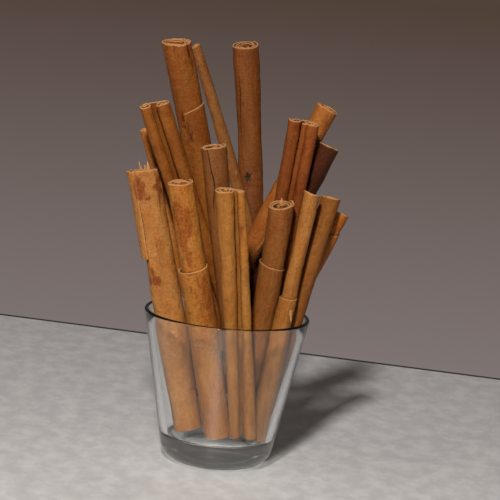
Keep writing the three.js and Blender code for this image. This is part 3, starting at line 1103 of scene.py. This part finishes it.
@dataclass(frozen=True)
class BarkFinish:
    """Dry rolled bark: a warm body with streaks along the grain, blotches, spots and light cut edges."""

    name: str
    light: Colour
    middle: Colour
    dark: Colour
    stain: Colour = (0.135, 0.031, 0.0058)
    edge: Colour = (0.5, 0.255, 0.105)
    blotches: float = 0.25
    streaks: float = 0.5
    spots: float = 0.5
    mottling: float = 0.4
    grain: float = 0.38
    warmth: float = 0.55
    bump: float = 0.8
    bump_depth: float = 0.00065
    gloss: float = 0.16
    rough: float = 0.56
    lip: float = 0.9

    NOISES = (
        ((0.10, 0.035, 0.0), 3.0, 0.55),
        ((0.85, 0.05, 7.0), 4.0, 0.6),
        ((3.2, 0.16, 3.0), 3.0, 0.6),
        ((0.42, 0.26, 13.0), 5.0, 0.62),
        ((0.16, 0.075, 21.0), 3.0, 0.55),
        ((0.55, 0.4, 33.0), 2.0, 0.5),
        ((1.3, 0.95, 41.0), 4.0, 0.7),
        ((0.5, 0.85, 57.0), 3.0, 0.6),
        ((0.2, 0.09, 71.0), 4.0, 0.6),
    )
    FIBRES = (0.62, 0.36, 0.15)
    GRIT = (0.6, 0.5, 0.4)
    PITS = (0.7, 0.52, 0.38)
    WARM = (1.0, 0.8, 0.55)
    # colours for the shade attribute: painted shade, and the darker inner face of the bark
    SHADED = (0.42, 0.3, 0.24)
    DEEP = (0.022, 0.008, 0.004)
    EDGE_DARK = (0.42, 0.2, 0.08)

    def make(self) -> Material:
        """Builds the material: colours laid over one another by noise and by what the pieces carry.

        Returns:
            The material.
        """
        recipe = Recipe(bpy.data.materials.new(self.name))
        place = recipe.attribute("grain", "Vector")
        noises = [recipe.noise(place, *row) for row in self.NOISES]
        cloud, streak, fibre, mottle, patch, dots, grit, pits, hue = noises
        stain, shade = recipe.attribute("stain"), recipe.attribute("shade")
        blotch = patch.between(0.5, 0.72) * mottle.between(0.36, 0.6) * self.blotches
        marked = (stain * (0.1 + mottle * 1.1 + streak * 0.7)).between(0.27, 0.66) * 0.9
        body: Wire | Colour = self.middle
        for share, colour, kind in (
            (cloud.between(0.3, 0.7), self.light, "MIX"),
            (streak.between(0.5, 0.78) * self.streaks, self.dark, "MIX"),
            (mottle.between(0.5, 0.72) * self.mottling, self.dark, "MIX"),
            (blotch + marked, self.stain, "MIX"),
            (dots.between(0.7, 0.76) * self.spots, self.stain, "MIX"),
            (fibre.between(0.35, 0.75) * 0.22, self.FIBRES, "MULTIPLY"),
            (grit.between(0.42, 0.64) * self.grain, self.GRIT, "MULTIPLY"),
            (grit.between(0.5, 0.34) * self.grain * 0.6, self.light, "MIX"),
            (pits.between(0.58, 0.7) * self.grain, self.PITS, "MULTIPLY"),
            (hue.between(0.42, 0.62) * self.warmth, self.WARM, "MULTIPLY"),
            # the shade attribute darkens the colour: painted shade in furrows, dents, splits and on side
            # edges, and the darker inner face
            (shade, self.SHADED, "MULTIPLY"),
            (shade.between(0.6, 1.0) * 0.92, self.DEEP, "MIX"),
        ):
            body = recipe.mix(share, body, colour, kind)
        toned = {0: body, 1: recipe.attribute("tone", "Vector")}
        body = recipe.node("ShaderNodeVectorMath", {"operation": "MULTIPLY"}, toned)
        lip = (recipe.attribute("cut") * (0.62 + mottle * 0.6)).held()
        edge = recipe.mix(fibre.between(0.45, 0.7), self.edge, self.EDGE_DARK)
        body = recipe.mix(lip * self.lip, body, edge)
        height = fibre * 0.3 + streak * 0.6 + mottle * 0.9 + grit * 0.35 + pits * 0.5
        rough = self.rough + streak * 0.16 + stain * 0.08
        sockets = {"Base Color": body, "Roughness": rough, "Specular IOR Level": self.gloss}
        sockets["Normal"] = recipe.bumpy(height, self.bump, self.bump_depth)
        return recipe.finish("ShaderNodeBsdfPrincipled", sockets)


@dataclass(frozen=True)
class GlassFinish:
    """Clear glass that lets the light of a lamp through."""

    name: str = "clear_glass"
    tint: Colour = (0.955, 0.972, 0.968)
    passing: Colour = (0.59, 0.6, 0.59)
    bending: float = 1.5

    def make(self) -> Material:
        """Builds the material: glass to the eye, and a clear sheet to rays that look for a lamp.

        Returns:
            The material.
        """
        recipe = Recipe(bpy.data.materials.new(self.name))
        sockets = {"Roughness": 0.0, "IOR": self.bending, "Transmission Weight": 1.0}
        glass = recipe.node("ShaderNodeBsdfPrincipled", {}, {"Base Color": colour_of(self.tint), **sockets})
        clear = recipe.node("ShaderNodeBsdfTransparent", {}, {"Color": colour_of(self.passing)})
        lamp = recipe.node("ShaderNodeLightPath", {}, {}, "Is Shadow Ray")
        return recipe.finish("ShaderNodeMixShader", {0: lamp, 1: glass, 2: clear})


@dataclass(frozen=True)
class TableFinish:
    """A pale grey table top with faint mottling."""

    name: str = "pale_table"
    light: Colour = (0.57, 0.565, 0.575)
    dark: Colour = (0.455, 0.45, 0.46)
    sheen: float = 0.42
    bump: float = 0.12
    bump_depth: float = 0.0004

    def make(self) -> Material:
        """Builds the material: two greys and small bumps, both by one noise.

        Returns:
            The material.
        """
        recipe = Recipe(bpy.data.materials.new(self.name))
        place = recipe.node("ShaderNodeTexCoord", {}, {}, "Object")
        cloud = recipe.noise(place, (1.0, 0.6, 0.0), 5.0, 0.65, 110.0)
        body = recipe.mix(cloud.between(0.35, 0.7), self.dark, self.light)
        normal = recipe.bumpy(cloud, self.bump, self.bump_depth)
        sockets = {"Base Color": body, "Roughness": self.sheen, "Normal": normal}
        return recipe.finish("ShaderNodeBsdfPrincipled", sockets)


# ---------------------------------------------------------------- studio


@dataclass(frozen=True)
class Lamp:
    """A round soft lamp that points at the quills. Lengths are metres, angles degrees from the front."""

    name: str
    turn: float
    climb: float
    distance: float
    size: float
    power: float
    colour: Colour = (1.0, 0.955, 0.9)

    def build(self, aim: Place) -> None:
        """Hangs the lamp.

        Args:
            aim: What it points at.
        """
        turn, climb = math.radians(self.turn), math.radians(self.climb)
        level = math.cos(climb)
        away = Vector((math.sin(turn) * level, -math.cos(turn) * level, math.sin(climb)))
        data = bpy.data.lights.new(self.name, "AREA")
        data.shape, data.size, data.energy, data.color = "DISK", self.size, self.power, self.colour
        lamp = bpy.data.objects.new(self.name, data)
        lamp.location = Vector(aim) + away * self.distance
        lamp.rotation_mode = "QUATERNION"
        lamp.rotation_quaternion = away.to_track_quat("Z", "Y")
        lamp.visible_transmission = False
        bpy.context.scene.collection.objects.link(lamp)


@dataclass(frozen=True)
class Studio:
    """The table, the lamps, the soft room light and the camera. Lengths are metres here."""

    table_edge: tuple[tuple[float, float], tuple[float, float]] = ((-0.1347, 0.3034), (0.1561, 0.2430))
    reach: float = 3.0
    # width and colour of a strip of painted shadow behind the table's far edge
    gap: float = 0.004
    shadow_strip_colour: Colour = (0.03, 0.024, 0.022)
    aim: Place = (0.0, 0.0, 0.08)
    lamps: tuple[Lamp, ...] = (
        Lamp("main_lamp", -7.5, 37.0, 1.3, 0.11, 25.5),
        Lamp("side_lamp", -62.0, 30.0, 1.0, 0.45, 0.8),
    )
    room: Colour = (0.058, 0.039, 0.031)
    room_behind: Colour = (0.085, 0.08, 0.075)
    room_depth: tuple[float, float] = (-0.1, 0.8)
    room_low: float = 0.05
    wall_low: Colour = (0.21, 0.175, 0.17)
    wall_high: Colour = (0.08, 0.052, 0.04)
    wall_span: tuple[float, float] = (-0.21, -0.09)
    camera_at: Place = (0.00837214, -1.42323075, 0.35853091)
    camera_axes: tuple[Place, Place, Place] = (
        (0.99627356, 0.01509972, 0.08491754),
        (-0.08624958, 0.17441774, 0.98088708),
        (0.0, -0.98455597, 0.17507012),
    )
    focal: float = 216.0
    sensor: float = 36.0
    clip: tuple[float, float] = (0.05, 20.0)

    def build(self) -> None:
        """Builds the table, painted shadow past its straight far edge, the lamps, the room and the camera."""
        edge = np.array(self.table_edge)
        run = unit(edge[1] - edge[0])
        front = np.array([run[1], -run[0]])
        edge = edge.mean(0) + np.outer((-1, 1), run * self.reach)
        self._sheet("table_top", edge, front * self.reach * 1.6, TableFinish())
        # a strip of painted shadow: the dark line beyond the table's far edge
        gap = TableFinish("painted_shadow_strip", self.shadow_strip_colour, self.shadow_strip_colour)
        self._sheet("painted_shadow_strip", edge - front * self.gap, front * self.gap, gap)
        for lamp in self.lamps:
            lamp.build(self.aim)
        self._room()
        self._camera()

    @staticmethod
    def _sheet(name: str, edge: Array, step: Array, finish: TableFinish) -> None:
        """A flat sheet from its far edge to one step nearer.

        Args:
            name: The object's name.
            edge: Both ends of the far edge.
            step: The way from the far edge to the near one.
            finish: Its finish.
        """
        mesh = bpy.data.meshes.new(name)
        mesh.from_pydata([(*corner, 0.0) for corner in (*edge, *(edge[::-1] + step))], [], [(0, 3, 2, 1)])
        mesh.update()
        mesh.materials.append(finish.make())
        made = bpy.data.objects.new(name, mesh)
        bpy.context.scene.collection.objects.link(made)

    def _room(self) -> None:
        """Dim light from above, and a wall colour that darkens upwards for what lies beyond the table."""
        world = bpy.data.worlds.new("room")
        recipe = Recipe(world, "ShaderNodeOutputWorld")
        place = recipe.node("ShaderNodeTexCoord", {}, {}, "Generated")
        height, depth = (recipe.node("ShaderNodeSeparateXYZ", {}, {0: place}, axis) for axis in "ZY")
        # painted shading: the wall is drawn darker upwards, as the light on it falls off
        wall = recipe.mix(height.ramp(*self.wall_span), self.wall_low, self.wall_high)
        above = recipe.mix(depth.ramp(*self.room_depth), self.room, self.room_behind)
        colour = recipe.mix(height.ramp(self.wall_span[1], self.room_low), wall, above)
        recipe.finish("ShaderNodeBackground", {"Color": colour})
        bpy.context.scene.world = world

    def _camera(self) -> None:
        """A long lens that looks a little down, rolled slightly: its axes point right, up and back."""
        data = bpy.data.cameras.new("camera")
        data.lens, data.sensor_width = self.focal, self.sensor
        data.clip_start, data.clip_end = self.clip
        camera = bpy.data.objects.new("camera", data)
        camera.rotation_mode = "QUATERNION"
        camera.location = self.camera_at
        camera.rotation_quaternion = Matrix(self.camera_axes).transposed().to_quaternion()
        bpy.context.scene.collection.objects.link(camera)
        bpy.context.scene.camera = camera


# ---------------------------------------------------------------- the quills, by row from front to back

FINISHES = (
    BarkFinish("bark_tan", (0.308, 0.135, 0.0373), (0.24, 0.0942, 0.0224), (0.129, 0.0401, 0.00996)),
    BarkFinish(
        "bark_mottled", (0.308, 0.126, 0.0299), (0.24, 0.0846, 0.0174), (0.129, 0.0375, 0.0083),
        (0.189, 0.0506, 0.00788), blotches=0.7, grain=0.6,
    ),
    BarkFinish(
        "bark_straw", (0.265, 0.118, 0.0273), (0.227, 0.0916, 0.019), (0.129, 0.0436, 0.00996),
        blotches=0.1, spots=0.2,
    ),
    BarkFinish(
        "bark_grey", (0.232, 0.1, 0.0332), (0.18, 0.0741, 0.0216), (0.103, 0.0349, 0.00996), blotches=0.15,
    ),
    BarkFinish(
        "bark_amber", (0.249, 0.0916, 0.0174), (0.189, 0.061, 0.0104), (0.103, 0.027, 0.00498), blotches=0.2,
    ),
    BarkFinish(
        "bark_red", (0.201, 0.0645, 0.0149), (0.15, 0.0436, 0.00954), (0.0771, 0.0201, 0.00498),
        blotches=0.35,
    ),
)

QUILLS = (
    # front row
    Quill(
        "quill_left_broad", "bark_tan", 11, (1.15, 1.19, 1.13),
        Axis((-13, -6.8, 17.3), (-44, -13.1, 142.9), (-0.1, -0.1, 0)), (Curl(0, 6.55, 2.8),), hand=-1,
        seam=FRONT - 0.62, lift=0.3, oval=1.15, shift=-1.1, swells=((0.1, 0.4, 0.22),),
        filling=(Curl(0.7, 1.9, 1.4, 0.5),), head=SheetEnd(0.3, -0.12, -0.08, sunk=1.2),
        wrappers=(Wrapper(0.5, 0.85, -0.7, facing=LEFT + 0.15, reach=0.78, tall=42.6, feather=0.5),),
        flakes=(
            Flake(2.45, 4, 3.6, 7.4, 2.6, 0.05), Flake(1.35, 4, 3.2, 6.6, 2.4, -0.04),
            Flake(2.0, 3, 1.6, 4.4, 1.8, 0.03),
        ),
        marks=(
            Mark(-0.5, 8, 3.0, 6.5, stain=1.0), Mark(0.95, 9, 2.4, 6, depth=0.2, stain=0.95, points=5),
            Mark(0, 13.5, 1.6, 1.1, depth=0.1, stain=0.8), Mark(0.8, 17, 1.2, 2.2, depth=0.1, stain=0.5),
            Mark(-1.25, 43.9, 2.0, 0.6, depth=0.8, shade=1.0), Mark(-0.6, 49, 1.9, 2.0, stain=1.0),
            Mark(-0.45, 53.5, 2.3, 2.2, stain=1.2), Mark(-1.1, 54, 1.0, 3.0, stain=0.7),
        ),
    ),
    Quill(
        "quill_left_wrapped", "bark_mottled", 12, (1.15, 1.18, 0.89),
        Axis((0.9, -9.7, 15.9), (-27.5, -34.2, 141.4), (0.6, 0, 0.1)), (Curl(0, 6.6, 2.7),),
        filling=(Curl(-0.5, 2.3, 1.6, -0.3),), foot_size=0.94, head=SheetEnd(0.3, -0.09, -0.07, sunk=1.0),
        wrappers=(Wrapper(44, 0.75, 0.5, chips=0.2),),
        marks=(
            Mark(-0.5, 14, 2.8, 7.5, stain=1.2), Mark(0.2, 19, 2.8, 7.5, stain=1.1),
            Mark(-0.45, 28, 2.2, 7.0, stain=1.2), Mark(-0.15, 37, 2.0, 6.0, stain=1.0),
            Mark(0.7, 13, 1.2, 3.0, stain=0.5), Mark(-0.2, 44.5, 2.6, 1.2, stain=0.8),
            Mark(0.75, 56, 2.2, 10.0, stain=1.2), Mark(0.2, 66, 1.5, 4.0, stain=0.5),
            Mark(-0.3, 52, 0.45, 3.2, depth=0.3, stain=0.8, shade=0.3),
            Mark(-0.05, 58, 0.45, 3.6, depth=0.3, stain=0.8, shade=0.3),
            Mark(0.25, 50, 0.4, 3.0, depth=0.3, stain=0.8, shade=0.3),
            Mark(0.3, 61, 0.45, 3.4, depth=0.3, stain=0.8, shade=0.3),
        ),
    ),
    Quill(
        "quill_front_twin", "bark_straw", 13, (1.2, 1.19, 1.03),
        Axis((10.75, -15.5, 16.7), (-3.55, -44.85, 141.3), (1.2, -0.9, -0.1)),
        (Curl(-2.2, 4.75, 2.2), Curl(5.2, 2.0, 1.3)), growth=Growth.ROW,
        foot_curls=(Curl(-2.2, 2.5, 2.2), Curl(5.0, 3.1, 1.3)), filling=(Curl(-2.0, 1.7, 1.2, 0.2),),
        head=SheetEnd(0.3, -0.07, -0.04, sunk=0.5),
        marks=(
            Mark(0.95, 22, 3.2, 6.0, depth=0.25, stain=0.9),
            Mark(0.85, 27.5, 2.6, 0.9, depth=0.3, shade=0.8), Mark(0.9, 12, 2.0, 6.0, depth=0.1, stain=0.5),
        ),
    ),
    Quill(
        "quill_right_front", "bark_tan", 14, (1.02, 1.02, 0.82),
        Axis((18.8, -7.7, 15.1), (35.3, -20.7, 139.3), (0.5, -0.3, -0.1)), (Curl(0, 4.5, 2.2),),
        foot_size=0.93, swells=((-0.14, 0.72, 0.2),), head=SheetEnd(0.3, -0.13, -0.2, sunk=0.6),
        wrappers=(Wrapper(53, 0.3, 0.5),), flakes=(Flake(FRONT + 0.7, 58, 4.2, 6.0, 2.2, math.pi - 0.25),),
        marks=(Mark(0.75, 60, 0.9, 3.2, depth=0.3, stain=0.7, shade=0.3),),
    ),
    Quill(
        "quill_right_wrapped", "bark_tan", 15, (0.71, 0.61, 0.46),
        Axis((10, -0.5, 17.9), (21.2, -17.9, 132.3), (3.5, 1.1, -0.4)), (Curl(0, 6.5, 2.5),),
        filling=(Curl(0.4, 2.4, 1.7, 0.6),), foot_size=0.84, swells=((-0.06, 0.55, 0.25),),
        head=SheetEnd(0.3, 0.18, 0.09, sunk=1.0), wrappers=(Wrapper(31, 0.4, -1.2, chips=0.15),),
        flakes=(Flake(BACK, 3, 0.4, 5.4, 2.1, 0.1), Flake(LEFT - 0.2, 19, 5.8, 7.0, 2.6, math.pi - 0.36)),
        marks=(
            Mark(-0.55, 10, 0.7, 0.7, stain=0.9), Mark(-0.15, 7, 0.6, 0.6, stain=0.8),
            Mark(-0.1, 11.5, 0.6, 0.6, stain=0.8),
        ),
    ),
    # middle row
    Quill(
        "quill_grey_cracked", "bark_grey", 16, (0.73, 0.64, 0.47),
        Axis((6.9, -14.4, 50.3), (-13.2, -35.2, 160), (-0.4, -0.4, -0.2)), (Curl(0, 6.5, 2.4),),
        filling=(Curl(-3.2, 1.9, 1.3, -2.0), Curl(1.2, 2.2, 1.5, 0.4)), foot_size=0.9,
        head=SheetEnd(0.3, -0.04, -0.09, sunk=0.9),
        crack=Crack(
            ((0, -0.5), (4, -0.42), (11, -0.33), (16, -0.2), (21, -0.22), (27, -0.42), (33, -0.45)),
        ),
    ),
    Quill(
        "quill_right_middle", "bark_tan", 17, (0.7, 0.6, 0.37),
        Axis((19.95, 2, 15), (44.6, -9.2, 136.4), (0.1, -0.4, -0.2)), (Curl(0, 5.1, 2.4),), foot_size=0.94,
        head=SheetEnd(0.3, 0, -0.18, sunk=0.8),
        marks=(Mark(-0.6, 8, 0.8, 3.0, stain=0.6), Mark(0.3, 30, 2.0, 12.0, stain=0.35)),
    ),
    Quill(
        "quill_left_twin", "bark_amber", 18, (0.82, 0.76, 0.42),
        Axis((3.1, -6.35, 57.8), (-42.3, -29.85, 176.4), (0.5, 0, 0.2)),
        (Curl(-4.45, 2.95, 1.9), Curl(3.7, 3.6, 1.9)), growth=Growth.ROW,
        filling=(Curl(3.6, 1.4, 1.2, -0.2),), foot_size=0.9, head=SheetEnd(0.3, -0.1, 0.02, sunk=0.5),
        marks=(
            # the shade of these marks is painted shade in the furrow between the two rolls; their stain is
            # its red bark
            Mark(-0.95, 22, 0.8, 9.0, stain=0.5), Mark(-0.5, 9, 2.2, 5.0, shade=0.9, stain=0.9),
            Mark(-0.4, 21, 2.6, 6.0, shade=1.0, stain=1.0), Mark(-0.5, 35, 2.4, 7.0, shade=0.9, stain=0.9),
        ),
    ),
    Quill(
        "quill_triple", "bark_red", 19, (0.96, 0.84, 0.5),
        Axis((15, 9.9, 15.9), (28.8, -12.7, 171.9), (-0.5, -0.2, 0)),
        (Curl(-4.2, 3.4, 1.9), Curl(0.25, 2.1, 1.4, -1.5), Curl(4.2, 3.3, 1.8)), growth=Growth.ROW,
        foot_size=0.76, head=SheetEnd(0.3, 0, -0.07, sunk=0.4),
        marks=(
            # the shade of these marks is painted shade in the two furrows between the rolls; their stain is
            # the furrows' red bark
            Mark(-0.9, 3, 0.7, 1.8, depth=0.2, stain=0.9), Mark(-0.8, 36, 1.2, 2.0, shade=0.4),
            Mark(-0.6, 10, 1.3, 6.0, shade=0.9, stain=0.8), Mark(-0.6, 24, 1.3, 7.0, shade=0.9, stain=0.8),
            Mark(0.7, 14, 1.2, 8.0, shade=0.9, stain=0.8), Mark(0.7, 32, 1.4, 8.0, shade=0.9, stain=0.8),
        ),
    ),
    Quill(
        "quill_tall_left", "bark_amber", 20, (0.79, 0.71, 0.41),
        Axis((3.7, 7, 34.4), (-35.1, -18, 205.3), (4.4, 0.2, 1.1)), (Curl(0, 7.1, 3.0),),
        filling=(Curl(-0.8, 2.4, 1.7, 0.3), Curl(1.7, 1.4, 1.2, -1.5)), foot_size=0.88, head_size=1.05,
        head=SheetEnd(0.3, -0.2, 0.01, sunk=0.6),
        wrappers=(Wrapper(33.5, 0.5, 1.6, facing=RIGHT - 0.5, reach=1.4, chips=0.15),),
        marks=(
            Mark(-0.35, 41, 1.6, 1.8, depth=0.35, stain=1.0, shade=0.7, points=3),
            Mark(-0.2, 46, 1.6, 2.2, depth=0.4, stain=1.0, shade=0.8, points=4),
            Mark(-0.5, 36, 1.1, 2.4, depth=0.25, stain=1.0, shade=0.5),
            Mark(0.85, 5, 0.7, 3.5, depth=0.3, stain=1.0, shade=1.1),
            Mark(1.0, 12, 0.6, 4.0, depth=0.3, stain=0.9, shade=0.9),
            Mark(-0.7, 1.6, 0.8, 0.9, depth=0.2, shade=0.9),
            Mark(-0.1, 1.8, 0.6, 0.9, depth=0.2, shade=0.8), Mark(0.4, 1.4, 0.7, 0.8, depth=0.2, shade=0.9),
        ),
    ),
    # back row
    Quill(
        "quill_tall_thin", "bark_amber", 21, (0.76, 0.85, 1.0),
        Axis((24.6, 19.3, 61.3), (-26.8, 22.7, 199.4), (2.2, 0.2, 0.5)), (Curl(0, 3.6, 1.8),),
        head_size=0.72, size_power=4, head=SheetEnd(0.3, 0.25, 0.08),
        flakes=(Flake(FRONT + 0.5, 66, 3.4, 3.0, 1.0, 0.4),),
    ),
    Quill(
        "quill_diagonal", "bark_amber", 22, (1.16, 1.1, 0.98),
        Axis((-18.3, 16.6, 37.8), (39.6, 5.5, 177.3), (-1.1, 0.1, 0.5)), (Curl(0, 5.9, 2.5),),
        filling=(Curl(0.3, 2.1, 1.4),), foot_size=0.88, head=SheetEnd(0.3, -0.05, -0.03, sunk=0.5),
    ),
    Quill(
        "quill_right_short", "bark_amber", 23, (1.5, 1.4, 0.75),
        Axis((17.9, 13.15, 47.3), (50, 2.8, 127), (0, -0.6, -0.1)), (Curl(0, 4.9, 2.2),), foot_size=0.84,
        head=SheetEnd(0.3, 0.05, -0.25, sunk=0.5),
        wrappers=(Wrapper(11, 0.45, 0.8, facing=RIGHT, reach=1.5),),
    ),
    Quill(
        # the very dark tone is partly its own colour and partly painted shade from the quills in front of it
        "quill_dark_back", "bark_red", 24, (0.27, 0.19, 0.07),
        Axis((-9.2, 20.7, 26.2), (41.7, -1.3, 159.8), (0, -0.2, 0)), (Curl(0, 5.6, 2.4),),
        filling=(Curl(0.2, 2.0, 1.3),), foot_size=0.88, head=SheetEnd(0.3, 0, -0.28, sunk=0.7),
    ),
    Quill(
        # the tone lifts it well above its neighbours: painted light on a quill that lies in shade
        "quill_behind_twin", "bark_amber", 25, (1.6, 1.7, 1.5),
        Axis((-8, 7.15, 43.4), (-46.3, -0.25, 160.2), (0.8, 0, 0.3)), (Curl(0, 3.6, 1.7),),
        head=SheetEnd(0.3, 0, -0.08),
    ),
    Quill(
        "quill_tall_middle", "bark_red", 26, (0.73, 0.69, 0.33),
        Axis((11.6, 17.8, 26.1), (-2.9, 44.7, 199.8), (5.9, 3.1, 0)), (Curl(0, 7.0, 2.9),),
        filling=(Curl(-1.6, 2.0, 1.6, -0.6), Curl(1.8, 1.6, 1.4, 1.4)), foot_size=0.86,
        swells=((-0.06, 0.76, 0.09), (0.07, 0.45, 0.12)), head=SheetEnd(0.3, -0.05, 0.33, sunk=0.8),
        seam=BACK - 0.4,
        crack=Crack(((15, -0.75), (24, -0.62), (34, -0.7), (44, -0.85), (54, -0.95)), 0.4, 1.3),
        marks=(
            # the knot's dark star is partly its own colour and partly painted shade in its hollow; the
            # wrinkles' shade is painted shade in their dents
            Mark(-0.16, 65.5, 1.15, 1.3, depth=1.0, shade=3.2, points=5),
            Mark(-0.1, 68, 4.0, 3.0, shade=0.4, stain=0.3), Mark(0.35, 20, 2.4, 5.0, stain=0.5),
            Mark(0.45, 36, 0.7, 0.7, stain=0.8), Mark(0.5, 63, 3.6, 0.7, depth=0.35, shade=0.25),
            Mark(0.6, 69, 3.6, 0.7, depth=-0.15),
            Mark(-0.1, 61, 2.6, 0.7, depth=0.3, stain=0.3, shade=0.25),
            Mark(0.05, 70.5, 2.6, 0.6, depth=0.35, stain=0.3, shade=0.3),
            Mark(0.2, 76, 2.0, 0.9, depth=0.3, shade=0.2),
            Mark(0.5, 83, 1.6, 0.8, depth=0.3, stain=0.4, shade=0.3),
        ),
    ),
)


def main() -> None:
    """Builds the part and the studio, and sets the Standard view transform."""
    logging.basicConfig(level=logging.INFO, format="%(name)s %(message)s")
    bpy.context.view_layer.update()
    Tumbler().build(GlassFinish().make())
    finishes = {bark.name: bark.make() for bark in FINISHES}
    for quill in QUILLS:
        quill.build(finishes[quill.slot])
    Studio().build()
    bpy.context.scene.view_settings.view_transform = "Standard"
    bpy.context.view_layer.update()


if __name__ == "__main__":
    main()
